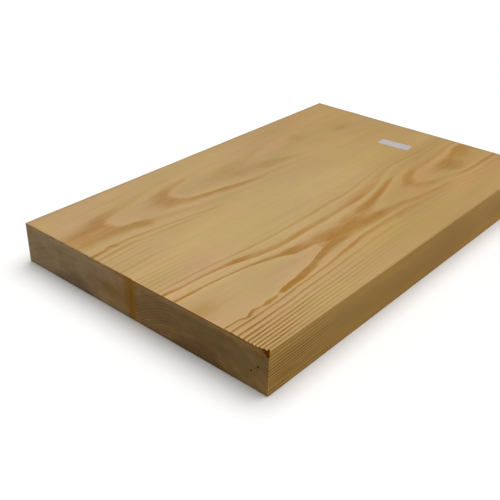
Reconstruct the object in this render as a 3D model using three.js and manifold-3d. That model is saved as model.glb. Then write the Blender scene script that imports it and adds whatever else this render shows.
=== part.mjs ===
// A blank of swamp ash: two planed boards of equal width, glued edge to edge, with a small blank paper
// label on the top face. Millimetres. X runs across the width, Y along the grain from the near end grain
// face to the far one, and +Z is up. The origin is the middle of the underside.
import * as THREE from "three";
import { mergeVertices } from "three/addons/utils/BufferGeometryUtils.js";
import Module from "manifold-3d";

// The whole blank
const slabLength = 550;
const slabWidth = 355;
const slabThickness = 49;

// Its outer arrises are lightly eased, and its four upright corners a little rounded
const arrisEase = 0.7;
const cornerRadius = 1.2;
const cornerSteps = 3;

// How far a cutting shape runs past the face that it cuts
const overrun = 5;

// The break-out at the near right corner of the top: its reach along each edge from the corner. Its back
// leans out from breakDepth at the top to breakFootDepth at its foot.
const breakWidth = 12;
const breakHeight = 5.4;
const breakDepth = 3.7;
const breakFootDepth = 0.3;

// In the break-out, seen from above, three notches parted by two teeth of wood that stayed, with a third
// tooth left at the corner: distance in from the right edge and depth from the near end
const breakPlan = [
  { fromRightEdge: 11.5, depth: 1.6 },
  { fromRightEdge: 10.3, depth: 0.6 },
  { fromRightEdge: 8.5, depth: 0.8 },
  { fromRightEdge: 7.3, depth: 2.4 },
  { fromRightEdge: 6.6, depth: 2.5 },
  { fromRightEdge: 4.1, depth: 0.8 },
  { fromRightEdge: 3.6, depth: 0.9 },
  { fromRightEdge: 3, depth: breakDepth },
  { fromRightEdge: 1.9, depth: breakDepth },
  { fromRightEdge: 1.2, depth: 1.7 },
  { fromRightEdge: 0, depth: breakFootDepth },
  { fromRightEdge: -overrun, depth: breakFootDepth },
];

// Two blind pin holes in the near end: distance in from the right edge, height, diameter
const pinHoleDepth = 3;
const pinHoleSides = 12;
const pinHoles = [
  { fromRightEdge: 12.3, height: 27, diameter: 2.2 },
  { fromRightEdge: 20.5, height: 19.5, diameter: 1.8 },
];

// The paper label, its middle measured from the middle of the blank
const labelWidth = 46;
const labelLength = 17;
const labelThickness = 0.25;
const labelCornerRadius = 1.5;
const labelCentre = { x: 3.7, y: 206.5 };
const labelTurn = THREE.MathUtils.degToRad(3.8);

const nearEnd = -slabLength / 2;
const rightEdge = slabWidth / 2;

const wasm = await Module();
wasm.setup();

// A closed geometry as a solid, its shared vertices merged
function toSolid(geometry) {
  const bare = geometry.clone();
  bare.deleteAttribute("normal");
  bare.deleteAttribute("uv");
  const merged = mergeVertices(bare, 1e-4);
  const mesh = new wasm.Mesh({
    numProp: 3,
    vertProperties: merged.attributes.position.array,
    triVerts: new Uint32Array(merged.index.array),
  });
  return new wasm.Manifold(mesh);
}

// A solid as a geometry with flat faces
function toGeometry(solid) {
  const mesh = solid.getMesh();
  const geometry = new THREE.BufferGeometry();
  geometry.setAttribute("position", new THREE.BufferAttribute(mesh.vertProperties, 3));
  geometry.setIndex(new THREE.BufferAttribute(mesh.triVerts, 1));
  const flat = geometry.toNonIndexed();
  flat.computeVertexNormals();
  return flat;
}

// A rectangle about the origin with rounded corners
function roundedRectangle(width, length, radius) {
  const right = width / 2;
  const top = length / 2;
  const shape = new THREE.Shape();
  shape.absarc(right - radius, top - radius, radius, 0, Math.PI / 2);
  shape.absarc(radius - right, top - radius, radius, Math.PI / 2, Math.PI);
  shape.absarc(radius - right, radius - top, radius, Math.PI, 1.5 * Math.PI);
  shape.absarc(right - radius, radius - top, radius, 1.5 * Math.PI, 2 * Math.PI);
  return shape;
}

// The blank before it is parted into its two boards
function wholeSlab() {
  const outline = roundedRectangle(slabWidth, slabLength, cornerRadius);
  const geometry = new THREE.ExtrudeGeometry(outline, {
    depth: slabThickness - 2 * arrisEase,
    bevelThickness: arrisEase,
    bevelSize: arrisEase,
    bevelOffset: -arrisEase,
    bevelSegments: 1,
    curveSegments: cornerSteps,
  });
  geometry.translate(0, 0, arrisEase);
  return toSolid(geometry);
}

// Everything on one side of the glue line: side is -1 for the left board and 1 for the right
function sideOfJoint(side) {
  const reach = slabWidth / 2 + overrun;
  const geometry = new THREE.BoxGeometry(reach, slabLength + 2 * overrun, slabThickness + 2 * overrun);
  geometry.translate((side * reach) / 2, 0, slabThickness / 2);
  return toSolid(geometry);
}

// The wood lost at the near right corner: a notched outline seen from above, kept only above a line
// that falls towards the corner in the end face, as the growth rings do there, and in front of a back
// that leans
function breakOut() {
  const plan = new THREE.Shape();
  plan.moveTo(rightEdge - breakWidth, nearEnd - overrun);
  plan.lineTo(rightEdge - breakWidth, nearEnd);
  for (const point of breakPlan) {
    plan.lineTo(rightEdge - point.fromRightEdge, nearEnd + point.depth);
  }
  plan.lineTo(rightEdge + overrun, nearEnd - overrun);
  const fromAbove = new THREE.ExtrudeGeometry(plan, {
    depth: breakHeight + 2 * overrun,
    bevelEnabled: false,
  });
  fromAbove.translate(0, 0, slabThickness - breakHeight - overrun);

  const slope = breakHeight / breakWidth;
  const front = new THREE.Shape();
  front.moveTo(rightEdge - breakWidth, slabThickness);
  front.lineTo(rightEdge + overrun, slabThickness - breakHeight - overrun * slope);
  front.lineTo(rightEdge + overrun, slabThickness + overrun);
  front.lineTo(rightEdge - breakWidth, slabThickness + overrun);
  const fromFront = new THREE.ExtrudeGeometry(front, {
    depth: 2 * overrun,
    bevelEnabled: false,
  });
  fromFront.rotateX(Math.PI / 2);
  fromFront.translate(0, nearEnd + overrun, 0);

  const lean = (breakDepth - breakFootDepth) / breakHeight;
  const profile = new THREE.Shape();
  profile.moveTo(nearEnd - overrun, slabThickness - breakHeight - overrun);
  profile.lineTo(nearEnd + breakFootDepth - overrun * lean, slabThickness - breakHeight - overrun);
  profile.lineTo(nearEnd + breakDepth + overrun * lean, slabThickness + overrun);
  profile.lineTo(nearEnd - overrun, slabThickness + overrun);
  const fromSide = new THREE.ExtrudeGeometry(profile, {
    depth: breakWidth + 2 * overrun,
    bevelEnabled: false,
  });
  fromSide.rotateX(Math.PI / 2);
  fromSide.rotateZ(Math.PI / 2);
  fromSide.translate(rightEdge - breakWidth - overrun, 0, 0);
  return toSolid(fromAbove).intersect(toSolid(fromFront)).intersect(toSolid(fromSide));
}

// One pin hole, drilled along the grain
function pinHole(hole) {
  const radius = hole.diameter / 2;
  const length = pinHoleDepth + overrun;
  const geometry = new THREE.CylinderGeometry(radius, radius, length, pinHoleSides);
  geometry.translate(rightEdge - hole.fromRightEdge, nearEnd + pinHoleDepth - length / 2, hole.height);
  return toSolid(geometry);
}

function makeLeftBoard() {
  const board = wholeSlab().intersect(sideOfJoint(-1));
  const wood = new THREE.MeshStandardMaterial({ color: 0xae9161, roughness: 0.62, metalness: 0 });
  const mesh = new THREE.Mesh(toGeometry(board), wood);
  mesh.name = "left_board";
  return mesh;
}

function makeRightBoard() {
  let board = wholeSlab().intersect(sideOfJoint(1));
  board = board.subtract(breakOut());
  for (const hole of pinHoles) {
    board = board.subtract(pinHole(hole));
  }
  const wood = new THREE.MeshStandardMaterial({ color: 0xae8e61, roughness: 0.62, metalness: 0 });
  const mesh = new THREE.Mesh(toGeometry(board), wood);
  mesh.name = "right_board";
  return mesh;
}

// The label lies flat on the top face, across the glue line
function makeLabel() {
  const outline = roundedRectangle(labelWidth, labelLength, labelCornerRadius);
  const geometry = new THREE.ExtrudeGeometry(outline, {
    depth: labelThickness,
    bevelEnabled: false,
    curveSegments: cornerSteps,
  });
  const paper = new THREE.MeshStandardMaterial({ color: 0xafa8ad, roughness: 0.85, metalness: 0 });
  const mesh = new THREE.Mesh(geometry, paper);
  mesh.name = "paper_label";
  mesh.position.set(labelCentre.x, labelCentre.y, slabThickness);
  mesh.rotation.z = labelTurn;
  return mesh;
}

const group = new THREE.Group();
group.add(makeLeftBoard());
group.add(makeRightBoard());
group.add(makeLabel());

export default group;
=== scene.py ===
import math
import bpy
import numpy as np
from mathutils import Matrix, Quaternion, Vector


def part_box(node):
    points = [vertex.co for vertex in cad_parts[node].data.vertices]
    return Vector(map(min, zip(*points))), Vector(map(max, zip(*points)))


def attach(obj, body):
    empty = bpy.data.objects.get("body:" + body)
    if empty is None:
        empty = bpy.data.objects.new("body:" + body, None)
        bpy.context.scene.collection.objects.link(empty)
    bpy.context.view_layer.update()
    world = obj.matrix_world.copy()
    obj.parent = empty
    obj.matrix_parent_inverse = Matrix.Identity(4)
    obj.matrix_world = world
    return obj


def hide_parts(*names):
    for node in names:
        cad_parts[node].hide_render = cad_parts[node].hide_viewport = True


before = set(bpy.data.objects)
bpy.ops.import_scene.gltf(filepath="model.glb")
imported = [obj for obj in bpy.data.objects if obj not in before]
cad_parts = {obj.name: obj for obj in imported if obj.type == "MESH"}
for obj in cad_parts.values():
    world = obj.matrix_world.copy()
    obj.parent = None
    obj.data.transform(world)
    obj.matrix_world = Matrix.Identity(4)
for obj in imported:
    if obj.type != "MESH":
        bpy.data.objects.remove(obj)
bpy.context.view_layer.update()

mm = 0.001
rightLow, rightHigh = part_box("right_board")
slabTop = rightHigh.z
nearEnd = rightLow.y
boardWidth = (rightHigh.x - rightLow.x) / mm
slabLength = (rightHigh.y - rightLow.y) / mm

# Camera
cameraLook = {
    "place": (0.5157, -0.6974, 0.4611),      # metres
    "azimuth": 40.583,                       # degrees, 0 looks along +Y
    "downward": 29.827,
    "roll": 0.901,
    "lens": 56.36,
}


def makeCamera(look):
    data = bpy.data.cameras.new("slabCamera")
    data.sensor_width = 36
    data.lens = look["lens"]
    data.clip_start = 0.01
    camera = bpy.data.objects.new("slabCamera", data)
    azimuth = math.radians(look["azimuth"])
    fall = math.radians(look["downward"])
    level = math.cos(fall)
    forward = Vector((-math.sin(azimuth) * level, math.cos(azimuth) * level, -math.sin(fall)))
    camera.rotation_mode = "QUATERNION"
    roll = Quaternion((0, 0, 1), math.radians(look["roll"]))
    camera.rotation_quaternion = forward.to_track_quat("-Z", "Y") @ roll
    camera.location = look["place"]
    bpy.context.scene.collection.objects.link(camera)
    bpy.context.scene.camera = camera


makeCamera(cameraLook)
print("camera placed")


# Curves and patches that the boards share

# A smooth curve through listed (place, value) knots: cubic between neighbours, with each knot's slope
# taken from the knots on either side, and level past the ends.
def smoothThrough(t, knots):
    place, value = np.array(knots, float).T
    slope = np.gradient(value, place)
    t = np.clip(t, place[0], place[-1])
    i = np.clip(np.searchsorted(place, t) - 1, 0, len(place) - 2)
    gap = place[i + 1] - place[i]
    u = (t - place[i]) / gap
    start = (1 + 2 * u) * (1 - u) ** 2 * value[i] + u * (1 - u) ** 2 * gap * slope[i]
    finish = u * u * (3 - 2 * u) * value[i + 1] - u * u * (1 - u) * gap * slope[i + 1]
    return start + finish


# A smooth step: 0 up to start, 1 from full on, cubic between. It falls where full is less than start.
def ease(t, start, full):
    u = np.clip((t - start) / (full - start), 0, 1)
    return u * u * (3 - 2 * u)


# One minus a smooth step: 1 below low, 0 above high
def fadeOut(t, low, high):
    return 1 - ease(t, low, high)


# A round soft patch: 1 at its middle, falling as a bell over its two radii
def patch(a, b, middle, radii):
    return np.exp(-((a - middle[0]) / radii[0]) ** 2 - ((b - middle[1]) / radii[1]) ** 2)


# A sum of soft patches, each times its amount
def patches(a, b, rows):
    return sum(amount * patch(a, b, middle, radii) for middle, radii, amount in rows)


# A sum of smooth steps. A row is an amount, and for each coordinate it depends on, where the step starts
# and where it is full; the steps of one row are multiplied.
def softSteps(rows, **places):
    total = 0
    for amount, reaches in rows:
        for name, (start, full) in reaches.items():
            amount = amount * ease(places[name], start, full)
        total = total + amount
    return total


# Smooth noise about nought, mostly between -1 and 1: a sum of plane waves in seeded directions, about
# `size` mm from crest to crest
def waves(seed, size, *coords):
    draw = np.random.default_rng(seed)
    total = 0
    count = 10
    for _ in range(count):
        direction = draw.normal(size=len(coords))
        direction *= 2 * math.pi / (size * np.linalg.norm(direction)) * draw.uniform(0.6, 1.5)
        angle = draw.uniform(0, 2 * math.pi)
        for k, coord in enumerate(coords):
            angle = angle + direction[k] * coord
        total = total + np.cos(angle)
    return total / math.sqrt(count)


# Growth rings

# Each board was sawn off one side of a log, so its rings are flat arches over a heart that lies under it.
# heart is where that is across the board at places along it, pith its depth under the top, which is also
# the radius of ring 0, and rise how far it comes up from there. The flanks bend the arches: distance
# beside the heart against the distance that a round arch would have. outward lists how far beside the
# heart rings 1, 2 and so on cross the near edge of the top, and inward how much smaller rings -1, -2 and
# so on are than ring 0. shifts push the lines to the right in soft patches: (middle, radii, mm).
rightRings = {
    "heart": [
        (0, 92.8), (50, 93.8), (75, 94.5), (100, 95), (125, 95.3), (150, 95.2), (175, 94), (200, 93),
        (225, 92.1), (250, 91.2), (275, 90.8), (300, 91.8), (325, 91), (350, 89.3), (375, 87), (400, 87),
        (425, 87.5), (455, 91), (480, 93), (550, 92),
    ],
    "pith": 167.5,
    "rise": [
        (0, 2.35), (50, 2.28), (75, 2), (100, 1.42), (125, 0.87), (150, 0.42), (175, 0.12), (197, 0),
        (225, -0.14), (257, 0), (275, 0.13), (300, 0.3), (325, 0.6), (350, 0.98), (375, 1.55),
        (388, 1.95), (400, 2.25), (420, 2.75), (450, 3.2), (483, 3.7), (520, 4), (550, 4.2),
    ],
    "flankRight": [(0, 0), (32.5, 29.3), (55, 55.8), (80, 97), (95, 125)],
    "flankLeft": [(0, 0), (32.5, 29.3), (47, 37.6), (56, 47.7), (75, 70), (94, 92)],
    "outward": [38.8, 47.7, 54.1, 59.6, 63.8, 68.2, 72.3, 76.3, 80.3, 84.2],
    "inward": [1.95, 3.7, 6.8, 10.2, 13.4, 16.8, 20, 23.2, 26.5, 30, 33.6, 37, 41, 45, 49, 53.5, 58],
    "shifts": [
        ((95, 195), (15, 58), 4.5),
        ((89, 148), (8, 17), 3.5),
        ((111, 150), (8, 22), 1.6),
        ((94, 99), (32, 15), -2),
        ((155, 100), (30, 75), -3.2),
        ((86, 294), (8, 22), 2.5),
        ((111, 330), (12, 55), -4),
        ((110, 365), (12, 28), 7),
        ((78, 530), (14, 25), -5),
        ((122, 525), (10, 45), -4),
        ((127.5, 28), (4, 7), 3),
        ((125, 40), (4, 6), -1),
        ((126, 52), (4, 6), 1.6),
        ((124, 72), (4, 7), 1.5),
        ((118, 88), (7, 7), -1.5),
        ((125, 150), (9, 60), 3),
        ((67, 215), (10, 45), -2),
        ((47, 6), (8, 9), -1.5),
    ],
}
leftRings = {
    "heart": [
        (0, -101), (54, -104.5), (100, -103.3), (150, -104), (190, -103), (268, -101), (345, -102),
        (420, -100), (550, -97),
    ],
    "pith": 148,
    "rise": [
        (0, -0.6), (30, -0.35), (55, 0), (70, 0.8), (85, 1.3), (110, 1.95), (130, 2.8), (152, 4.1),
        (165, 4.9), (190, 5.8), (225, 7.1), (268, 8.3), (300, 8.7), (330, 9.5), (345, 10.1), (405, 12.3),
        (485, 16), (550, 17.5),
    ],
    "flankRight": [(0, 0), (40, 40), (110, 112)],
    "flankLeft": [(0, 0), (40, 40), (110, 116)],
    "outward": [38, 47, 57, 62, 69, 75, 83, 92, 102],
    "inward": [4.1, 8.3, 12.3, 16, 19.5, 23.5, 27.5, 31, 35, 39, 43, 47, 51, 56, 60],
    "shifts": [
        ((-109, 55), (12, 16), -2.5),
        ((-65, 29), (5, 6), -2.5),
        ((-57, 85), (18, 45), -2.5),
        ((-87, 85), (10, 12), -3),
        ((-72, 225), (14, 50), -2),
    ],
}


# Ring number at a point, whole at the start of each year's growth. Distance from the heart, by the flank
# curve and the crest's height, is turned to a count along the list of ring radii.
def ringNumber(rings, across, along, down):
    for middle, radii, move in rings["shifts"]:
        across = across - move * patch(across, along, middle, radii)
    beside = across - smoothThrough(along, rings["heart"])
    flank = np.where(
        beside > 0,
        smoothThrough(beside, rings["flankRight"]),
        smoothThrough(-beside, rings["flankLeft"]),
    )
    crest = rings["pith"] - smoothThrough(along, rings["rise"])
    radius = np.hypot(flank, crest - down)
    firstCrest = rings["pith"] - rings["rise"][0][1]
    inward = rings["pith"] - np.array(rings["inward"][::-1], float)
    outward = np.hypot(smoothThrough(np.array(rings["outward"], float), rings["flankRight"]), firstCrest)
    radii = np.concatenate([inward, [rings["pith"]], outward])
    counts = np.arange(-len(inward), len(outward) + 1)
    beyond = (radius - radii[-1]) / (radii[-1] - radii[-2])
    return np.where(radius > radii[-1], counts[-1] + beyond, np.interp(radius, radii, counts))


# How the brown, open-pored start of each ring shows. By ring number, for the arm on each side of the
# heart or for both: (place along, strength, share of the ring's width that is brown). The last ring listed
# on each end of the count also stands for the rings past it.
rightBands = {
    -3: {
        "both": [(0, 1.2, 0.4), (550, 0.8, 0.4)],
    },
    -2: {
        "left": [(0, 0.4, 0.3), (400, 0.2, 0.3), (440, 0.3, 0.35), (470, 0.9, 0.35), (490, 0.7, 0.3),
                 (510, 1, 0.3), (525, 1.3, 0.4), (550, 1.2, 0.4)],
        "right": [(0, 0.4, 0.3), (400, 0.2, 0.3), (440, 0.3, 0.35), (470, 1.3, 0.4), (485, 0.6, 0.3),
                  (500, 0.15, 0.3), (550, 0.05, 0.3)],
    },
    -1: {
        "left": [(0, 0, 0.5), (60, 0, 0.4), (340, 0.2, 0.2), (370, 0.6, 0.2), (385, 0.7, 0.2),
                 (400, 0.8, 0.3), (418, 0.9, 0.3), (432, 0.4, 0.3), (550, 0.25, 0.3)],
        "right": [(0, 0, 0.4), (60, 0, 0.4), (340, 0.2, 0.2), (370, 0.5, 0.2), (390, 0.5, 0.25),
                  (410, 0.4, 0.3), (425, 0.15, 0.3), (450, 0.3, 0.3), (470, 0.7, 0.3), (500, 0.8, 0.3),
                  (525, 1, 0.35), (550, 1.1, 0.35)],
    },
    0: {
        "left": [(0, 2.6, 0.3), (18, 2.1, 0.26), (30, 1.2, 0.22), (75, 1.1, 0.22), (100, 1.3, 0.3),
                 (130, 1.5, 0.34), (150, 2.2, 0.4), (165, 1.3, 0.36), (180, 0.7, 0.35), (200, 1.2, 0.36),
                 (250, 1.15, 0.34), (265, 0.6, 0.3), (290, 1.2, 0.32), (340, 1.3, 0.34), (365, 1.1, 0.34),
                 (380, 0.4, 0.3), (400, 0.2, 0.3), (430, 0.12, 0.3), (550, 0.08, 0.3)],
        "right": [(0, 1.4, 0.26), (22, 1.5, 0.28), (30, 2.2, 0.5), (42, 1.6, 0.4), (50, 0.7, 0.3),
                  (60, 2.4, 0.6), (72, 1.7, 0.5), (79, 0.1, 0.3), (85, 2.6, 0.7), (120, 2.3, 0.62),
                  (135, 1.6, 0.5), (150, 1.3, 0.36), (165, 1.6, 0.32), (195, 1.3, 0.36),
                  (230, 1.25, 0.36), (262, 1.35, 0.48), (290, 1.25, 0.5), (303, 0.8, 0.45),
                  (320, 0.5, 0.6), (400, 0.4, 0.6), (430, 0.2, 0.5), (550, 0.2, 0.4)],
    },
    1: {
        "left": [(0, 2.3, 0.38), (12, 1.8, 0.34), (22, 0.8, 0.28), (80, 0.8, 0.3), (96, 1.6, 0.4),
                 (110, 1, 0.35), (150, 0.9, 0.35), (185, 1.2, 0.36), (205, 1.1, 0.36), (240, 0.6, 0.35),
                 (280, 0.55, 0.35), (305, 1.1, 0.4), (325, 0.6, 0.4), (350, 0.35, 0.4), (550, 0.2, 0.4)],
        "right": [(0, 1.3, 0.3), (28, 1.6, 0.34), (36, 0.9, 0.28), (120, 0.8, 0.28), (200, 0.9, 0.28),
                  (270, 0.6, 0.3), (320, 0.35, 0.4), (400, 0.16, 0.4), (550, 0.08, 0.4)],
    },
    2: {
        "left": [(0, 0.5, 0.3), (60, 0.5, 0.3), (150, 0.45, 0.3), (270, 0.35, 0.3), (400, 0.2, 0.3),
                 (550, 0.15, 0.3)],
        "right": [(0, 1.6, 0.34), (30, 1.2, 0.34), (60, 0.7, 0.34), (100, 0.6, 0.3), (150, 0.6, 0.3),
                  (200, 0.4, 0.3), (240, 0.25, 0.3), (300, 0.12, 0.3), (550, 0.05, 0.3)],
    },
    3: {
        "left": [(0, 0.45, 0.3), (25, 0.32, 0.3), (50, 0.14, 0.3), (80, 0.05, 0.3), (550, 0.03, 0.3)],
        "right": [(0, 2.6, 0.44), (22, 2.4, 0.44), (40, 1.5, 0.42), (62, 0.9, 0.42), (100, 0.65, 0.38),
                  (140, 0.5, 0.34), (180, 0.3, 0.3), (220, 0.15, 0.3), (300, 0.06, 0.3),
                  (550, 0.03, 0.3)],
    },
}
leftBands = {
    -5: {
        "both": [(0, 0.8, 0.35), (550, 0.6, 0.3)],
    },
    -4: {
        "both": [(0, 0.3, 0.3), (300, 0.05, 0.3), (550, 0.03, 0.3)],
    },
    -3: {
        "both": [(0, 0.6, 0.3), (300, 0.05, 0.3), (550, 0.03, 0.3)],
    },
    -2: {
        "left": [(0, 0.2, 0.3), (195, 0.06, 0.3), (210, 0.15, 0.36), (228, 0.2, 0.36), (245, 0.24, 0.34),
                 (265, 0.3, 0.32), (285, 0.2, 0.3), (315, 0.2, 0.3), (335, 0.15, 0.3), (360, 0.04, 0.3),
                 (550, 0.03, 0.3)],
        "right": [(0, 0.2, 0.3), (195, 0.06, 0.3), (210, 0.15, 0.36), (228, 0.2, 0.36), (245, 0.24, 0.34),
                  (262, 0.35, 0.34), (275, 0.25, 0.3), (290, 0.25, 0.34), (308, 0.4, 0.4),
                  (325, 0.35, 0.4), (340, 0.35, 0.4), (355, 0.15, 0.4), (380, 0.05, 0.3),
                  (550, 0.03, 0.3)],
    },
    -1: {
        "left": [(0, 0.2, 0.3), (105, 0.15, 0.4), (125, 0.4, 0.45), (142, 0.75, 0.42), (155, 0.6, 0.36),
                 (180, 0.4, 0.32), (193, 0.45, 0.32), (205, 0.15, 0.3), (240, 0.06, 0.3),
                 (550, 0.04, 0.3)],
        "right": [(0, 0.2, 0.3), (105, 0.15, 0.4), (125, 0.4, 0.45), (142, 0.75, 0.42), (160, 0.7, 0.4),
                  (175, 0.75, 0.36), (187, 1.0, 0.4), (200, 0.75, 0.36), (215, 1.2, 0.4),
                  (228, 0.9, 0.38), (250, 0.6, 0.36), (280, 0.3, 0.35), (330, 0.1, 0.3),
                  (550, 0.05, 0.3)],
    },
    0: {
        "left": [(0, 0.6, 0.26), (35, 0.75, 0.28), (52, 0.9, 0.34), (75, 0.5, 0.3), (95, 0.25, 0.3),
                 (112, 0.12, 0.3), (120, 0.3, 0.3), (135, 0.1, 0.3), (200, 0.03, 0.3), (550, 0.02, 0.3)],
        "right": [(0, 0.6, 0.36), (35, 0.75, 0.36), (52, 0.9, 0.38), (75, 0.7, 0.36), (88, 0.9, 0.5),
                  (94, 0.75, 0.45), (102, 0.3, 0.4), (150, 0.2, 0.4), (200, 0.1, 0.4), (300, 0.03, 0.3),
                  (550, 0.02, 0.3)],
    },
    1: {
        "left": [(0, 0.05, 0.3), (60, 0.12, 0.3), (118, 0.2, 0.3), (150, 0.1, 0.3), (200, 0.03, 0.3),
                 (550, 0.02, 0.3)],
        "right": [(0, 1.8, 0.32), (12, 1.5, 0.3), (22, 1.1, 0.28), (32, 2.4, 0.4), (40, 1, 0.32),
                  (60, 0.5, 0.35), (100, 0.35, 0.4), (150, 0.22, 0.4), (200, 0.06, 0.4), (300, 0.02, 0.3),
                  (550, 0.01, 0.3)],
    },
    2: {
        "left": [(0, 0.03, 0.3), (550, 0.02, 0.3)],
        "right": [(0, 0.5, 0.3), (30, 0.5, 0.36), (55, 0.45, 0.4), (80, 0.25, 0.4), (150, 0.1, 0.4),
                  (250, 0.02, 0.4), (550, 0.01, 0.3)],
    },
    3: {
        "left": [(0, 0.03, 0.3), (550, 0.02, 0.3)],
        "right": [(0, 0.45, 0.3), (50, 0.28, 0.3), (80, 0.14, 0.3), (120, 0.06, 0.3), (200, 0.02, 0.3),
                  (550, 0.01, 0.3)],
    },
}


# Strength and brown share of the bands at places: those of the ring that starts at or inside the place, or
# within a quarter outside it, blended over the heart from the left arm's to the right arm's. From the last
# listed ring outwards, each ring has its own factor, and the factors repeat.
def bandsAt(look, ring, across, along):
    start = np.floor(ring + 0.25)
    last = max(look["bands"])
    factors = np.array(look["outerFactors"])
    outer = np.where(start >= last, factors[np.maximum(start - last, 0).astype(int) % len(factors)], 1)
    start = np.clip(start, min(look["bands"]), last)
    toRight = 1 / (1 + np.exp(-(across - smoothThrough(along, look["rings"]["heart"])) / 2.5))
    strength = np.zeros_like(ring)
    share = np.zeros_like(ring)
    for number, arms in look["bands"].items():
        here = start == number
        for arm, weight in (("left", 1 - toRight), ("right", toRight)):
            places, strengths, shares = np.array(arms.get(arm) or arms["both"], float).T
            strength += here * weight * outer * np.interp(along, places, strengths)
            share += here * weight * np.interp(along, places, shares)
    return strength, share


# Boards

# In both boards' looks, hues and washes are patches: (middle, radii, amount). A hue above nought leans to
# rose, one below nought to straw. core is the dark mound in the ends. endLight is how much lighter the ends
# are at the top edge and at the foot, where the lighter foot is painted light, and soft how blurred the
# bands are at the near end and the far one.
rightBoardLook = {
    "name": "right_board_wood",
    "node": "right_board",
    "slot": "ash_right",
    "grainOffset": 41.0,
    "rings": rightRings,
    "bands": rightBands,
    "arris": 0.55,
    "arrisSeed": 11,
    "torn": True,
    "acrossSteps": [(0, 0), (120, 48), (164, 118), (177.5, 158)],        # (distance, step number)
    "outerFactors": [0.62, 1.25, 0.95, 0.85, 0.87, 0.72, 0.55, 0.5, 0.8],
    "nearArris": 0.55,
    "hues": [((8, 190), (35, 110), -0.4), ((52, 65), (30, 50), 0.35), ((40, 210), (25, 60), -0.2),
             ((150, 5), (30, 60), 0.6), ((5, 440), (45, 90), -0.7), ((156, 270), (22, 130), -0.45)],
    "core": {"heart": 90, "down": (25, 41), "reach": 40, "fall": 17, "amount": 0.5},
    # End grain tinted darker: its own darker colour, and painted shade beyond it
    "endTintsAndShade": ((0.452, 0.356, 0.355, 1), (0.382, 0.396, 0.335, 1)),
    "endBands": 0.5,
    "soft": (0.0, 1.0),
    "endLight": (0.26, 0.48),
    "washes": [((90, 2), (13, 24), 0.42), ((131, 20), (8, 50), 0.07), ((174, 2), (5, 6), 0.1),
               ((55, 480), (22, 70), 0.06)],
}
leftBoardLook = {
    "name": "left_board_wood",
    "node": "left_board",
    "slot": "ash_left",
    "grainOffset": 0.0,
    "rings": leftRings,
    "bands": leftBands,
    "arris": 0.85,
    "arrisSeed": 23,
    "torn": False,
    "acrossSteps": [(-177.5, 0), (-170, 8), (0, 110)],
    "outerFactors": [1, 0.4, 0.75, 0.2, 0.9, 0.35, 0.6],
    "nearArris": 2.4,
    "hues": [((-8, 190), (35, 110), -0.4), ((-150, 20), (80, 60), 0.4), ((-125, 250), (25, 60), 0.25),
             ((5, 440), (45, 90), -0.7), ((-80, 365), (30, 50), -0.4)],
    "core": {"heart": -97, "down": (25, 41), "reach": 37, "fall": 17, "amount": 0.34},
    # End grain tinted darker: its own darker colour, and painted shade beyond it
    "endTintsAndShade": ((0.62, 0.585, 0.735, 1), (0.56, 0.612, 0.705, 1)),
    "endBands": 0.12,
    "soft": (0.45, 1.0),
    "endLight": (0.15, 0.25),
    "washes": [((-115.5, 408), (8, 10), 0.28), ((-91.5, 485), (8, 15), 0.28)],
}
alongSteps = [(0, 0), (6, 14), (110, 60), (550, 124)]
downSteps = [(0, 0), (6, 18), (18, 32), (31, 64), (49, 76)]

# The break-out at the near right corner. By distance from the right edge, outline is its depth at the top
# and floor how far down it goes.
cornerBreak = {
    "width": 12,
    "outline": [(0, 0.3), (1.2, 1.7), (1.9, 3.7), (3.0, 3.7), (3.3, 2.3), (3.6, 0.9), (4.1, 0.8),
                (5.3, 1.6), (6.6, 2.5), (7.2, 2.4), (7.7, 1.2), (8.5, 0.8), (10.3, 0.6), (10.9, 1.6),
                (11.5, 1.6), (12.1, 0)],
    "floor": [(0, 5.6), (1.5, 5.3), (3, 4.3), (4, 3.4), (6.4, 2.6), (9.8, 0.9), (12.1, 0)],
    "hollow": 1.0,           # mm, half way down
    "fade": 7,               # mm into the board over which the push runs out
}
pinHoles = [
    {"fromRightEdge": 12.3, "down": 22, "radius": 1.1},
    {"fromRightEdge": 20.5, "down": 29.5, "radius": 0.9},
]
pinHoleDepth = 3

# Nicks in the near top edge, where brown bands reach it
nicks = {
    "depth": 0.9,
    "from": (124, 136),      # distances from the glue line between which they set in
    "reachDown": 0.8,
    "phase": 0.17,           # where in a ring a nick is deepest, and half its width
}


# Places from the first knot to the last, evenly spaced between one knot and the next
def placesFrom(knots):
    place, step = np.array(knots, float).T
    return np.interp(np.arange(int(step[-1]) + 1), step, place)


# Splits the outermost cell at each end of a run of places, so that an eased arris has points on its curve
def easedEnds(places, reach, low=True, high=True):
    shares = np.array([0.0, 0.12, 0.3, 0.55, 0.8, 1.0]) * reach
    inside = places
    if low:
        inside = np.concatenate([places[0] + shares, inside[inside > places[0] + reach * 1.2]])
    if high:
        inside = np.concatenate([inside[inside < places[-1] - reach * 1.2], places[-1] - shares[::-1]])
    return inside


# How far down the break-out goes: a line that falls from the top edge to the corner
def cornerFloor(fromEdge):
    return np.interp(fromEdge, *np.array(cornerBreak["floor"]).T) + 0.2 * waves(5, 4, fromEdge)


# 1 in the break-out and 0 outside: a smooth step down across its floor, within its width
def inCornerBreak(across, down):
    fromEdge = boardWidth - across
    floorLine = cornerFloor(fromEdge)
    return fadeOut(down, floorLine - 0.5, floorLine + 0.2) * (fromEdge < cornerBreak["width"])


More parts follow.
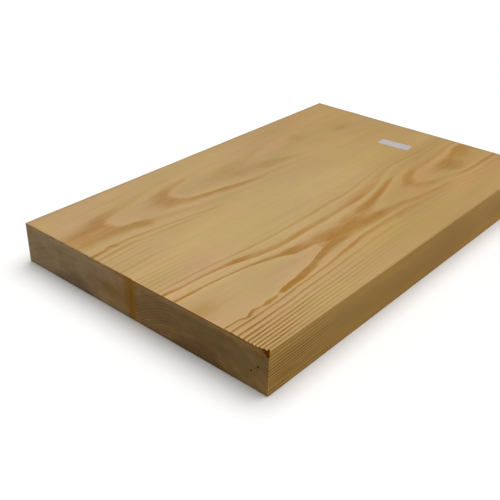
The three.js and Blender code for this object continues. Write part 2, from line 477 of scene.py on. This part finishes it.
# How far the near end is pushed in. In the break-out: its outline at the top, which runs out at its foot,
# plus a hollow that is deepest half way down. At the top edge beside it: short nicks where brown bands
# reach the edge. In the pin holes: their depth.
def tornDepth(across, down, ring, strength):
    fromEdge = boardWidth - across
    outline = np.interp(fromEdge, *np.array(cornerBreak["outline"]).T)
    fall = np.clip(down / np.maximum(cornerFloor(fromEdge), 0.2), 0, 1)
    depth = outline * (1 - fall) ** 1.5
    depth = depth + cornerBreak["hollow"] * 4 * fall * (1 - fall) * ease(fromEdge, 0, 1.5)
    depth = depth * (1 + 0.15 * waves(6, 1.8, across, down)) * inCornerBreak(across, down)
    phase = ring - np.floor(ring)
    nick = np.exp(-(phase / nicks["phase"] - 1) ** 2) * np.clip(strength / 2, 0, 1)
    nick = nick * ease(across, *nicks["from"]) * np.exp(-(down / nicks["reachDown"]) ** 2)
    depth = np.maximum(depth, nicks["depth"] * nick * (1 + 0.5 * waves(7, 5, across)))
    for hole in pinHoles:
        away = np.hypot(fromEdge - hole["fromRightEdge"], down - hole["down"])
        depth = np.maximum(depth, pinHoleDepth * fadeOut(away, hole["radius"] - 0.3, hole["radius"] + 0.15))
    return np.maximum(depth, 0)


# The outside of a box lattice: the number of each of its points, -1 inside, and the points in that order
def latticeSkin(across, along, down):
    shape = (len(across), len(along), len(down))
    onSkin = np.zeros(shape, bool)
    for axis in range(3):
        faceEnds = [slice(None)] * 3
        for end in (0, -1):
            faceEnds[axis] = end
            onSkin[tuple(faceEnds)] = True
    index = np.full(shape, -1)
    index[onSkin] = np.arange(onSkin.sum())
    i, j, k = np.nonzero(onSkin)
    return index, np.stack([across[i], along[j], down[k]], 1)


# Quads over the six sheets of the skin, each turned so that it faces outwards once down runs against +Z
def skinQuads(index):
    quads = []
    for axis in range(3):
        for end, flip in ((0, axis != 1), (-1, axis == 1)):
            sheet = np.take(index, end, axis=axis)
            corners = [sheet[:-1, :-1], sheet[1:, :-1], sheet[1:, 1:], sheet[:-1, 1:]]
            face = np.stack(corners, -1).reshape(-1, 4)
            quads.append(face if flip else face[:, ::-1])
    return np.concatenate(quads)


# Points near an edge move on to a quarter circle: each is drawn back to one reach from the nearest point of
# a core that is smaller than the board by that reach. The reach wavers along the edge, is greatest at the
# near top edge, and is nought at the glue line.
def easeArrises(look, points, isRight):
    nearTop = fadeOut(points[:, 1], 3, 8) * fadeOut(points[:, 2], 3, 8) * fadeOut(-points[:, 0], 165, 173)
    fullReach = look["arris"] + (look["nearArris"] - look["arris"]) * nearTop
    reach = fullReach * (1 + 0.3 * waves(look["arrisSeed"], 60, points[:, 0], points[:, 1]))
    reach = np.minimum(reach, fullReach)[:, None]
    coreLow = points.min(axis=0) + reach
    coreHigh = points.max(axis=0) - reach
    if isRight:
        coreLow[:, 0] = 0
    else:
        coreHigh[:, 0] = 0
    core = np.clip(points, coreLow, coreHigh)
    out = points - core
    length = np.linalg.norm(out, axis=1, keepdims=True)
    drawnIn = core + out / np.maximum(length, 1e-9) * np.minimum(length, reach)
    return np.where(length > 1e-9, drawnIn, points)


# A board is the skin of a box lattice with eased arrises. Its near end is pushed in where it is torn, less
# and less with the distance from that end.
def makeBoard(look):
    low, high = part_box(look["node"])
    isRight = high.x > 0.01
    arris = look["arris"]
    across = easedEnds(placesFrom(look["acrossSteps"]), arris, low=not isRight, high=isRight)
    along = easedEnds(placesFrom(alongSteps), arris)
    down = easedEnds(placesFrom(downSteps), arris)
    index, points = latticeSkin(across, along, down)

    ring = ringNumber(look["rings"], *points.T)
    strength, share = bandsAt(look, ring, points[:, 0], points[:, 1])
    push = tornDepth(points[:, 0], points[:, 2], ring, strength) if look["torn"] else np.zeros_like(ring)
    paints = paintBoard(look, points, ring, strength, share, push)

    points = easeArrises(look, points, isRight)
    points[:, 1] += push * fadeOut(points[:, 1], 0, cornerBreak["fade"])
    placed = points * mm
    placed[:, 1] += nearEnd
    placed[:, 2] = slabTop - placed[:, 2]
    return meshPiece(look, placed, skinQuads(index), paints)


# Paint that runs over both boards. Patches are (middle, radii, amount), and steps are rows for softSteps.
# In shades, an amount above nought darkens.
slabPaint = {
    # Painted shade: the whole slab darker towards the far end
    "allShades": [(0.08, {"along": (210, 520)})],
    "topShades": [(-0.03, {"across": (121, 126), "along": (140, 50)})],
    "topPatches": [
        ((-95, 240), (60, 200), 0.06),
        ((-106, 102), (22, 35), -0.03),
        ((-15, 150), (55, 220), -0.05),
        ((0, 440), (45, 70), -0.05),
        ((28, 370), (35, 45), -0.025),
        ((42, 200), (22, 65), -0.045),
        ((95, 70), (22, 60), -0.02),
        ((145, 290), (30, 90), 0.06),
        ((152, 90), (30, 55), -0.05),
    ],
    # Depths on the ends for endLight; towards the foot its lightening is painted light
    "endTop": (9, 3),                # depths between which endLight's two shares come in
    "endFoot": (24, 46),
    # Steps on the ends: lighter beside the glue line, towards the top on the right and towards the right
    # edge, a lighter foot on the right, which is painted light, and a dark line at the very foot, which is
    # painted shade
    "endShades": [
        (-0.12, {"fromGlue": (12, 4)}),
        (-0.09, {"across": (50, 75), "down": (7, 3)}),
        (-0.10, {"across": (125, 160)}),
        (-0.10, {"across": (120, 140), "down": (36, 46)}),
        (0.14, {"down": (45.5, 47.5)}),
    ],
    "endPatches": [
        ((-77, 39), (20, 10), 0.16),
        ((-22, 11), (14, 8), -0.14),
        ((-16, 43), (10, 6), -0.12),
        ((-2.5, 18), (1.3, 18), 0.18),
        ((20, 10), (24, 8), -0.14),
        ((45, 34), (14, 10), 0.08),
    ],
    # Steps on the long sides: lighter towards the top, lighter towards the foot, which is painted light,
    # and by place along
    "sideShades": [
        (-0.15, {"down": (20, 2)}),
        (-0.17, {"down": (32, 46)}),
        (0.06, {"along": (60, 160)}),
        (-0.04, {"along": (110, 40)}),
        (-0.08, {"along": (280, 340), "down": (36, 44)}),
        (-0.13, {"along": (330, 400)}),
    ],
    "sidePatches": [((345, 15), (40, 20), 0.05)],
    "warmth": [
        (0.75, {"along": (210, 520)}),
        (0.65, {"across": (25, 95), "along": (80, 320)}),
        (0.35, {"across": (105, 140)}),
    ],
    "warmPatches": [((85, 50), (40, 60), -0.5)],
    "sideWarmth": [(0.9, {"along": (40, 260)})],
    "sideHues": [((310, 28), (70, 40), -0.6)],
    "softening": (120, 380),         # places along between which the bands blur
    # Where the brown is deep: the close lines near the right edge
    "deepNear": [(0.6, {"across": (116, 122), "along": (60, 25)})],
    "deepFar": [(0.9, {"across": (126, 134), "along": (230, 60)})],
    # Strength of the bands on the two long edges, and how much of it they lose on the ends
    "sideLines": [(0.945, {"along": (140, 10)}), (1.155, {"along": (140, 10), "down": (12, 22)})],
    "endFading": [(0.45, {"across": (120, 90)})],
    "washSteps": [(0.10, {"across": (121, 126), "along": (140, 50)})],
    "sideWashes": [((20, 36), (18, 5), 0.3)],
    # Darker lines along the top's outer edges, painted shade: mm from the edge where each starts and where
    # it is full
    "farRim": {"dark": 0.2, "width": (3, 0.9)},
    "leftRim": {"dark": 0.2, "width": (6, 0.9)},
    "rightRim": {"dark": 0.14, "width": (3.5, 0.5)},
}


# Shade of an end: dark inside a mound round the heart, a parabola that noise roughens, and lighter at the
# top edge and at the foot, where the lighter foot is painted light, plus the end's own steps and patches
def endShade(look, across, down):
    core = look["core"]
    mound = down - core["fall"] * ((across - core["heart"]) / core["reach"]) ** 2
    mound = mound + 1.3 * waves(41, 40, across, down) + 0.7 * waves(45, 14, across, down)
    topLight, footLight = look["endLight"]
    shade = core["amount"] * ease(mound, *core["down"])
    shade = shade - topLight * ease(down, *slabPaint["endTop"])
    # Painted light: the ends lighter towards the foot
    shade = shade - footLight * ease(down, *slabPaint["endFoot"])
    shade = shade + softSteps(slabPaint["endShades"], across=across, down=down, fromGlue=np.abs(across - 6))
    return shade + patches(across, down, slabPaint["endPatches"])


# Painted values kept at the mesh's points: ring number, strength ("early") and share of its brown band,
# darkening, which holds the wood's own tone and also painted light and shade, warmth, how deep the brown
# is, brown washed over the pale wood, stain of glue, dark top edge of the ends, partly stain and partly
# painted shade, bruised wood, partly painted shade in its recesses, lean towards rose or straw, and blur of
# the bands
def paintBoard(look, points, ring, strength, share, push):
    across, along, down = points.T
    paint = slabPaint
    place = {"across": across, "along": along, "down": down}
    nearFace = fadeOut(along, 0.4, 1.2)
    ends = nearFace + fadeOut(slabLength - along, 0.4, 1.2)
    onSide = across > boardWidth - 0.01
    onTop = down < 0.01
    farRim = ease(slabLength - along, *paint["farRim"]["width"]) * onTop
    leftRim = ease(across + boardWidth, *paint["leftRim"]["width"]) * onTop
    rightRim = ease(boardWidth - across, *paint["rightRim"]["width"]) * onTop

    # Darkening of the ends, with their painted lighter foot, and of the top's rims, painted shade along its
    # outer edges
    dark = (endShade(look, across, down) + look["endLight"][0] * farRim) * ends
    dark = dark + paint["farRim"]["dark"] * farRim + paint["leftRim"]["dark"] * leftRim
    dark = dark + paint["rightRim"]["dark"] * rightRim
    # Darkening of the sides, with their painted lighter foot, and of the top, and the whole slab painted
    # darker towards the far end
    sideShade = softSteps(paint["sideShades"], **place) + patches(along, down, paint["sidePatches"])
    topShade = softSteps(paint["topShades"], **place) + patches(across, along, paint["topPatches"])
    dark = dark + np.where(onSide, sideShade, topShade) + softSteps(paint["allShades"], **place)
    dark = dark + 0.03 * waves(42, 45, across, along / 4, down)

    warm = softSteps(paint["warmth"], **place) + patches(across, along, paint["warmPatches"])
    warm = warm + 0.1 * waves(43, 80, across, along / 3)
    warm = np.where(onSide, 0.1 + softSteps(paint["sideWarmth"], **place), warm)
    warm = warm * (1 - farRim) * (1 - leftRim)
    hue = patches(across, along, look["hues"]) + patches(along, down, paint["sideHues"]) * onSide
    nearSoft, farSoft = look["soft"]
    soft = nearSoft + (farSoft - nearSoft) * ease(along, *paint["softening"])
    deep = np.maximum(softSteps(paint["deepNear"], **place), softSteps(paint["deepFar"], **place))

    onEdges = boardWidth - np.abs(across) < 0.01
    strength = np.where(onEdges, softSteps(paint["sideLines"], **place), strength)
    strength = strength * (1 - softSteps(paint["endFading"], **place) * ends)
    wash = patches(across, along, look["washes"]) + softSteps(paint["washSteps"], **place)
    wash = wash * fadeOut(down, 1, 5) + patches(along, down, paint["sideWashes"]) * onSide
    glue = glueStain(across, down) * ends
    edge = 0.6 + 0.3 * waves(44, 14, across) + 0.4 * ease(across, 90, 130)
    edge = edge * fadeOut(down, 0.9, 2.2) * ends

    # Skin that is pushed in is bruised and darkened, partly as painted shade in its recess, the pin holes
    # are painted dark as shade inside them, and the end is darker under the break-out
    bruiseAndShade = np.clip(push / 0.2, 0, 1) * fadeOut(along, 0.1, 0.9) * ease(down, 0.02, 0.25)
    dark = dark + (0.85 - dark) * bruiseAndShade * (down > 12)
    if look["torn"]:
        fromEdge = boardWidth - across
        underBreak = fadeOut(down - cornerFloor(fromEdge), 0.1, 1.6) * nearFace
        underBreakDark = underBreak * fadeOut(fromEdge, 7, 11) * ease(down, 0.1, 0.6)
        bruiseAndShade = np.maximum(bruiseAndShade, 0.9 * underBreakDark)
        dark = dark + 0.35 * underBreak * ease(down, 1.5, 3.5)
    return {
        "ring": ring, "early": strength, "share": share, "dark": dark, "warm": warm, "deep": deep,
        "wash": wash, "glue": glue, "edge": np.clip(edge, 0, 1), "bruiseAndShade": bruiseAndShade, "hue": hue, "soft": soft,
    }


# Glue that soaked into the end grain: a column beside the glue line, darkest at it, a thinner band along
# the top edge, and a wash that runs out to the left at half depth
def glueStain(across, down):
    wander = 1.0 * waves(31, 30, down) + 0.6 * waves(32, 8, across, down)
    place = across + wander
    deepLeft = ease(-place, 4, 9) * ease(down, 27, 36)
    column = 0.74 * fadeOut(-place, 10, 16.5) * fadeOut(place, 0, 8) * (1 - 0.5 * deepLeft)
    middle = 0.25 * np.exp(-((place + 2) / 4) ** 2)
    band = (0.15 * fadeOut(-place, 24, 150) + 0.35 * fadeOut(-place, 22, 48)) * fadeOut(down, 2, 8)
    spill = 0.55 * patch(across, down, (-30, 28), (34, 13)) + 0.15 * fadeOut(-place, 16, 60)
    return np.clip(column + middle + (band + spill) * fadeOut(place, -2, 3) * (1 - column), 0, 1)


def addPiece(look, mesh):
    mesh.validate()
    mesh.polygons.foreach_set("use_smooth", np.ones(len(mesh.polygons), bool))
    mesh.set_sharp_from_angle(angle=math.radians(38))
    piece = bpy.data.objects.new(look["name"], mesh)
    bpy.context.scene.collection.objects.link(piece)
    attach(piece, "root")
    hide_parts(look["node"])
    print(look["name"], "made of", len(mesh.polygons), "faces")
    return piece


# A piece from points, quads and painted values
def meshPiece(look, placed, quads, paints):
    mesh = bpy.data.meshes.new(look["name"])
    mesh.vertices.add(len(placed))
    mesh.vertices.foreach_set("co", placed.astype(np.float32).ravel())
    mesh.loops.add(quads.size)
    mesh.loops.foreach_set("vertex_index", quads.astype(np.int32).ravel())
    mesh.polygons.add(len(quads))
    mesh.polygons.foreach_set("loop_start", np.arange(0, quads.size, 4, dtype=np.int32))
    mesh.update(calc_edges=True)
    piece = addPiece(look, mesh)
    for name, values in paints.items():
        attribute = mesh.attributes.new(name, "FLOAT", "POINT")
        attribute.data.foreach_set("value", np.asarray(values, np.float32))
    return piece


# Node helpers: all but feed and addBump return an output socket

def feed(tree, node, name, value):
    socket = node.inputs[name]
    if isinstance(value, bpy.types.NodeSocket):
        tree.links.new(value, socket)
    else:
        socket.default_value = value


def calc(tree, operation, a, b=0.0, c=0.0, clamp=False):
    node = tree.nodes.new("ShaderNodeMath")
    node.operation = operation
    node.use_clamp = clamp
    for position, value in enumerate((a, b, c)):
        feed(tree, node, position, value)
    return node.outputs[0]


def vertexValue(tree, name):
    node = tree.nodes.new("ShaderNodeAttribute")
    node.attribute_name = name
    return node.outputs["Fac"]


def mixColour(tree, share, first, second, blend="MIX"):
    node = tree.nodes.new("ShaderNodeMix")
    node.data_type = "RGBA"
    node.blend_type = blend
    feed(tree, node, 0, share)
    feed(tree, node, 6, first)
    feed(tree, node, 7, second)
    return node.outputs[2]


def spread(tree, value, fromLow, fromHigh, toLow=0.0, toHigh=1.0):
    node = tree.nodes.new("ShaderNodeMapRange")
    node.interpolation_type = "SMOOTHSTEP"
    for name, amount in (("Value", value), ("From Min", fromLow), ("From Max", fromHigh), ("To Min", toLow),
                         ("To Max", toHigh)):
        feed(tree, node, name, amount)
    return node.outputs["Result"]


# Noise on Object coordinates, its crests this many mm apart across, along and up
def grainNoise(tree, sizes, detail=2.0, roughness=0.5, offset=0.0):
    coordinate = tree.nodes.new("ShaderNodeTexCoord")
    mapping = tree.nodes.new("ShaderNodeMapping")
    mapping.inputs["Scale"].default_value = [1 / (size * mm) for size in sizes]
    mapping.inputs["Location"].default_value = (offset, offset * 0.7, offset * 1.3)
    tree.links.new(coordinate.outputs["Object"], mapping.inputs["Vector"])
    noise = tree.nodes.new("ShaderNodeTexNoise")
    feed(tree, noise, "Scale", 1.0)
    feed(tree, noise, "Detail", detail)
    feed(tree, noise, "Roughness", roughness)
    tree.links.new(mapping.outputs["Vector"], noise.inputs["Vector"])
    return noise.outputs["Fac"]


# Noise that changes only with the ring number, so that whole rings differ from one another
def ringNoise(tree, pitch, offset):
    noise = tree.nodes.new("ShaderNodeTexNoise")
    noise.noise_dimensions = "1D"
    feed(tree, noise, "W", calc(tree, "MULTIPLY_ADD", vertexValue(tree, "ring"), pitch, offset))
    feed(tree, noise, "Scale", 1.0)
    feed(tree, noise, "Detail", 2.0)
    return noise.outputs["Fac"]


# Noise less its mean of one half, times size
def centred(tree, noise, size):
    return calc(tree, "MULTIPLY", calc(tree, "SUBTRACT", noise, 0.5), size)


def greyOf(tree, value):
    node = tree.nodes.new("ShaderNodeCombineColor")
    for channel in range(3):
        tree.links.new(value, node.inputs[channel])
    return node.outputs[0]


def addBump(tree, shader, height, strength, depth):
    bump = tree.nodes.new("ShaderNodeBump")
    feed(tree, bump, "Strength", strength)
    feed(tree, bump, "Distance", depth * mm)
    feed(tree, bump, "Height", height)
    tree.links.new(bump.outputs["Normal"], shader.inputs["Normal"])


# Wood

ashFinish = {
    "straw": (0.404, 0.283, 0.114, 1),
    "rose": (0.425, 0.271, 0.127, 1),
    "brown": (0.290, 0.126, 0.010, 1),
    "deepBrown": (0.190, 0.092, 0.012, 1),
    "warmTint": (1.0, 0.93, 0.75, 1),
    # The long sides darker and more saturated: partly their own colour, partly painted shade
    "sideTintsAndShade": ((0.805, 0.65, 0.295, 1), (0.765, 0.685, 0.285, 1)),
    "glue": (0.180, 0.078, 0.003, 1),
    # Dark line under the top edge of the ends: partly stain, partly painted shade below the arris
    "edge": (0.130, 0.070, 0.012, 1),
    # Bruised wood, also standing in as painted shade in the break-out and the pin holes
    "bruiseAndShade": (0.080, 0.022, 0.001, 1),
}


# Share of brown at a point. The ring number, waved by noise, is cut to its fraction, the way through one
# year's growth; that is measured in shares of the brown part, whose width fibres vary; brown falls off
# past half the share, and starts just before the ring's own line, both more gently where the bands are
# soft. One less e to the minus (strength times that) is the band. pale lightens the late part of a ring.
def brownBand(tree, look, endGrain):
    offset = look["grainOffset"]
    wave = centred(tree, grainNoise(tree, (16, 150, 16), 3, 0.55, offset), 0.16)
    fine = centred(tree, grainNoise(tree, (1.8, 30, 1.8), 2, 0.5, offset + 3), 0.05)
    wobble = centred(tree, grainNoise(tree, (4, 14, 4), 2, 0.5, offset + 13), 0.08)
    waving = calc(tree, "ADD", wave, calc(tree, "ADD", fine, wobble))
    ring = calc(tree, "ADD", vertexValue(tree, "ring"), waving)
    phase = calc(tree, "FRACT", ring)
    fibre = calc(tree, "MULTIPLY_ADD", grainNoise(tree, (1.1, 38, 1.1), 2, 0.6, offset + 5), 1.1, 0.45)
    shares = calc(tree, "DIVIDE", phase, calc(tree, "MULTIPLY", vertexValue(tree, "share"), fibre))
    soft = vertexValue(tree, "soft")
    full = calc(tree, "MULTIPLY_ADD", soft, -0.3, 0.45)
    gone = calc(tree, "MULTIPLY_ADD", soft, 0.5, 1.3)
    body = spread(tree, shares, full, gone, 1.0, 0.0)
    rise = calc(tree, "MULTIPLY_ADD", soft, -0.2, 0.975)
    onset = spread(tree, phase, rise, 1.0, 0.0, calc(tree, "MULTIPLY_ADD", soft, 0.2, 0.75))
    profile = calc(tree, "MAXIMUM", body, onset)
    patchy = spread(tree, grainNoise(tree, (7, 45, 7), 2, 0.6, offset + 7), 0.25, 0.75, 0.6, 1.4)
    load = calc(tree, "MULTIPLY", calc(tree, "MULTIPLY", vertexValue(tree, "early"), profile), patchy)
    load = calc(tree, "MULTIPLY", load, calc(tree, "MULTIPLY_ADD", endGrain, look["endBands"] - 1, 1.0))
    band = calc(tree, "SUBTRACT", 1.0, calc(tree, "EXPONENT", calc(tree, "MULTIPLY", load, -1.05)))
    banded = calc(tree, "MULTIPLY", vertexValue(tree, "early"), 1.5, clamp=True)
    late = calc(tree, "MULTIPLY", spread(tree, phase, 0.45, 0.9), banded)
    pale = calc(tree, "MULTIPLY_ADD", late, 0.05, 1.0)
    return band, pale


def makeAsh(look, finish):
    offset = look["grainOffset"]
    material = bpy.data.materials.new(look["slot"] + "_finish")
    material.use_nodes = True
    tree = material.node_tree
    shader = tree.nodes["Principled BSDF"]

    normal = tree.nodes.new("ShaderNodeTexCoord").outputs["Normal"]
    facing = tree.nodes.new("ShaderNodeSeparateXYZ")
    tree.links.new(normal, facing.inputs[0])
    endGrain = spread(tree, calc(tree, "ABSOLUTE", facing.outputs["Y"]), 0.45, 0.75)
    sideFace = spread(tree, calc(tree, "ABSOLUTE", facing.outputs["X"]), 0.45, 0.75)
    band, pale = brownBand(tree, look, endGrain)

    # Pale wood drifts between straw and rose; the band turns it brown, or deep brown where painted
    drift = spread(tree, grainNoise(tree, (30, 110, 14), 3, 0.6, offset + 11), 0.3, 0.7)
    drift = calc(tree, "ADD", drift, vertexValue(tree, "hue"), clamp=True)
    colour = mixColour(tree, drift, finish["straw"], finish["rose"])
    brown = mixColour(tree, vertexValue(tree, "deep"), finish["brown"], finish["deepBrown"])
    colour = mixColour(tree, vertexValue(tree, "wash"), colour, finish["brown"])
    colour = mixColour(tree, calc(tree, "MULTIPLY", band, 0.95), colour, brown)
    warmth = mixColour(tree, vertexValue(tree, "warm"), (1, 1, 1, 1), finish["warmTint"])
    colour = mixColour(tree, 1.0, colour, warmth, "MULTIPLY")

    # Light and dark along the grain: fine streaks times broad ones times the painted darkening, which also
    # holds painted light and shade
    streak = grainNoise(tree, (0.8, 55, 0.8), 3, 0.6, offset + 17)
    broad = grainNoise(tree, (7, 240, 7), 2, 0.5, offset + 19)
    light = calc(tree, "MULTIPLY_ADD", streak, 0.15, 0.925)
    light = calc(tree, "MULTIPLY", light, calc(tree, "MULTIPLY_ADD", broad, 0.12, 0.94))
    light = calc(tree, "MULTIPLY", light, pale)

    # Blotches, strongest on the ends, where whole rings differ too, and faint planer marks across the grain
    blotch = centred(tree, grainNoise(tree, (16, 50, 8), 3, 0.55, offset + 31), 1.0)
    blotchShare = calc(tree, "MULTIPLY_ADD", endGrain, 0.5, calc(tree, "MULTIPLY_ADD", sideFace, 0.15, 0.1))
    tone = calc(tree, "MULTIPLY", blotch, blotchShare)
    rings = calc(tree, "MULTIPLY", centred(tree, ringNoise(tree, 0.8, offset + 2), 0.22), endGrain)
    chatter = centred(tree, grainNoise(tree, (60, 1.7, 60), 1, 0.5, offset + 37), 0.07)
    tone = calc(tree, "ADD", calc(tree, "ADD", tone, rings), calc(tree, "ADD", chatter, 1.0))
    light = calc(tree, "MULTIPLY", light, tone)
    light = calc(tree, "MULTIPLY", light, calc(tree, "SUBTRACT", 1.0, vertexValue(tree, "dark")))

    # Open pores: short dark dashes on the faces, dots on the ends, thickest in the brown bands
    pores = spread(tree, grainNoise(tree, (0.34, 5.5, 0.34), 1, 0.5, offset + 23), 0.60, 0.68)
    poreShare = calc(tree, "MULTIPLY", pores, calc(tree, "MULTIPLY_ADD", band, 0.75, 0.22))
    light = calc(tree, "MULTIPLY", light, calc(tree, "MULTIPLY_ADD", poreShare, -0.32, 1.0))

    ringHue = spread(tree, ringNoise(tree, 0.45, offset + 8), 0.3, 0.7)
    endHue = calc(tree, "MULTIPLY_ADD", drift, 0.6, calc(tree, "MULTIPLY", ringHue, 0.4))
    # The ends tinted darker: end grain's own darker colour, and painted shade on top of it
    tint = mixColour(tree, endGrain, (1, 1, 1, 1), mixColour(tree, endHue, *look["endTintsAndShade"]))
    # The long sides tinted darker and more saturated, partly in colour and partly as painted shade
    tint = mixColour(tree, sideFace, tint, mixColour(tree, drift, *finish["sideTintsAndShade"]))
    colour = mixColour(tree, 1.0, colour, tint, "MULTIPLY")
    onEnd = calc(tree, "MULTIPLY", vertexValue(tree, "glue"), calc(tree, "MULTIPLY", endGrain, 0.9))
    colour = mixColour(tree, onEnd, colour, finish["glue"])
    # Dark line under the top edge of the ends, partly stain and partly painted shade below the arris
    onEdge = calc(tree, "MULTIPLY", vertexValue(tree, "edge"), calc(tree, "MULTIPLY", endGrain, 0.7))
    colour = mixColour(tree, onEdge, colour, finish["edge"])
    # Bruised wood, darkened partly as painted shade in the break-out's recess and in the pin holes
    onBruiseAndShade = calc(tree, "MULTIPLY", vertexValue(tree, "bruiseAndShade"), 0.92)
    colour = mixColour(tree, onBruiseAndShade, colour, finish["bruiseAndShade"])
    colour = mixColour(tree, 1.0, colour, greyOf(tree, light), "MULTIPLY")
    tree.links.new(colour, shader.inputs["Base Color"])

    # Relief: fibre streaks, less pores, plus saw marks across the ends, less the softer brown bands
    saw = grainNoise(tree, (60, 60, 0.8), 2, 0.5, offset + 29)
    height = calc(tree, "MULTIPLY_ADD", streak, 0.5, calc(tree, "MULTIPLY", poreShare, -0.8))
    height = calc(tree, "ADD", height, calc(tree, "MULTIPLY", calc(tree, "MULTIPLY", saw, endGrain), 0.5))
    height = calc(tree, "MULTIPLY_ADD", band, -0.25, height)
    addBump(tree, shader, height, 0.35, 0.12)
    rough = calc(tree, "MULTIPLY_ADD", band, 0.08, calc(tree, "MULTIPLY_ADD", streak, 0.10, 0.50))
    rough = calc(tree, "MULTIPLY_ADD", endGrain, 0.18, rough)
    tree.links.new(rough, shader.inputs["Roughness"])
    shine = calc(tree, "MULTIPLY_ADD", vertexValue(tree, "bruiseAndShade"), -0.12, 0.12)
    shine = calc(tree, "MULTIPLY", shine, calc(tree, "MULTIPLY_ADD", endGrain, -0.7, 1.0))
    tree.links.new(shine, shader.inputs["Specular IOR Level"])
    return material


for look in (leftBoardLook, rightBoardLook):
    board = makeBoard(look)
    board.data.materials.append(makeAsh(look, ashFinish))
print("boards made")

# Paper label
labelLook = {
    "name": "paper_label_sheet",
    "node": "paper_label",
    "slot": "label_paper",
    "width": 46,
    "length": 17,
    "corner": 1.5,
    "thickness": 0.16,
    "turn": 3.8,             # degrees
    "lift": 0.5,             # mm at the corner that has come up
    "curlFrom": 1.15,        # the slanting line where it starts; the corner would be 2 if it were square
    "paper": (0.41, 0.362, 0.378, 1),
}


# The label is rings of its rounded outline drawn in towards the middle, top skin and under skin, with a
# corner that curls up as the square of the distance past a slanting line.
def makeLabel(look):
    low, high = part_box(look["node"])
    corner = look["corner"]
    halfWidth, halfLength = look["width"] / 2 - corner, look["length"] / 2 - corner
    turn = np.linspace(0, 2 * math.pi, 96, endpoint=False) + 1e-4
    outX = np.sign(np.cos(turn)) * halfWidth + corner * np.cos(turn)
    outY = np.sign(np.sin(turn)) * halfLength + corner * np.sin(turn)
    share = np.linspace(1, 0, 16)[:-1]
    ringX = share[:, None] * outX
    ringY = share[:, None] * outY
    x = np.append(ringX.ravel(), 0)
    y = np.append(ringY.ravel(), 0)
    slant = x / (look["width"] / 2) + y / (look["length"] / 2)
    past = np.maximum(slant - look["curlFrom"], 0) / (2 - look["curlFrom"])
    under = 0.02 + look["lift"] * past ** 2
    upper = under + look["thickness"] + 0.02 * waves(51, 9, x, y)
    count = len(x)
    size = len(turn)
    rows = np.arange(len(share) - 1)[:, None] * size
    here = np.arange(size)[None, :]
    ahead = (here + 1) % size
    quad = np.stack([rows + here, rows + ahead, rows + size + ahead, rows + size + here], -1).reshape(-1, 4)
    lastRow = (len(share) - 1) * size
    tri = np.stack([lastRow + here[0], lastRow + ahead[0], np.full(size, count - 1)], -1)
    rim = np.stack([here[0] + count, ahead[0] + count, ahead[0], here[0]], -1)
    skins = [quad, tri, quad[:, ::-1] + count, tri[:, ::-1] + count, rim]
    faces = [corners for skin in skins for corners in skin.tolist()]
    angle = math.radians(look["turn"])
    middle = (low + high) / 2
    placedX = middle.x + (x * math.cos(angle) - y * math.sin(angle)) * mm
    placedY = middle.y + (x * math.sin(angle) + y * math.cos(angle)) * mm
    top = np.stack([placedX, placedY, slabTop + upper * mm], 1)
    bottom = np.stack([placedX, placedY, slabTop + under * mm], 1)
    mesh = bpy.data.meshes.new(look["name"])
    mesh.from_pydata(np.concatenate([top, bottom]).tolist(), [], faces)
    mesh.materials.append(makePaper(look))
    addPiece(look, mesh)


def makePaper(look):
    material = bpy.data.materials.new("label_paper_finish")
    material.use_nodes = True
    tree = material.node_tree
    shader = tree.nodes["Principled BSDF"]
    fibre = grainNoise(tree, (0.5, 0.8, 0.5), 3, 0.6, 2)
    cloud = grainNoise(tree, (14, 14, 14), 2, 0.5, 5)
    light = calc(tree, "MULTIPLY_ADD", fibre, 0.10, calc(tree, "MULTIPLY_ADD", cloud, 0.12, 0.88))
    colour = mixColour(tree, 1.0, look["paper"], greyOf(tree, light), "MULTIPLY")
    tree.links.new(colour, shader.inputs["Base Color"])
    shader.inputs["Roughness"].default_value = 0.8
    addBump(tree, shader, fibre, 0.2, 0.05)
    return material


makeLabel(labelLook)

# Floor and light
studio = {
    "floorHalf": 12,
    "floorHeight": 0.05 * mm,      # just above the underside, so that the two don't share a plane
    "floorColour": (0.84, 0.84, 0.835, 1),
    "skyColour": (1.0, 1.0, 1.0, 1),
    "skyStrength": 0.32,
    "sunStrength": 3.0,
    "sunAngle": 55,          # degrees across, so its shadows are soft
    "sunFrom": (-0.05, 0.5, 1.6),
}


def makeStudio(look):
    half, height = look["floorHalf"], look["floorHeight"]
    corners = [(-half, -half, height), (half, -half, height), (half, half, height), (-half, half, height)]
    mesh = bpy.data.meshes.new("floor")
    mesh.from_pydata(corners, [], [(0, 1, 2, 3)])
    floor = bpy.data.objects.new("floor", mesh)
    bpy.context.scene.collection.objects.link(floor)
    material = bpy.data.materials.new("floor_paint")
    material.use_nodes = True
    shader = material.node_tree.nodes["Principled BSDF"]
    shader.inputs["Base Color"].default_value = look["floorColour"]
    shader.inputs["Roughness"].default_value = 0.9
    shader.inputs["Specular IOR Level"].default_value = 0.1
    floor.data.materials.append(material)
    world = bpy.data.worlds.new("studio")
    world.use_nodes = True
    background = world.node_tree.nodes["Background"]
    background.inputs["Color"].default_value = look["skyColour"]
    background.inputs["Strength"].default_value = look["skyStrength"]
    bpy.context.scene.world = world
    data = bpy.data.lights.new("softSun", "SUN")
    data.energy = look["sunStrength"]
    data.angle = math.radians(look["sunAngle"])
    sun = bpy.data.objects.new("softSun", data)
    sun.rotation_mode = "QUATERNION"
    sun.rotation_quaternion = (-Vector(look["sunFrom"])).to_track_quat("-Z", "Y")
    bpy.context.scene.collection.objects.link(sun)
    bpy.context.scene.view_settings.view_transform = "Standard"
    print("studio made")


makeStudio(studio)
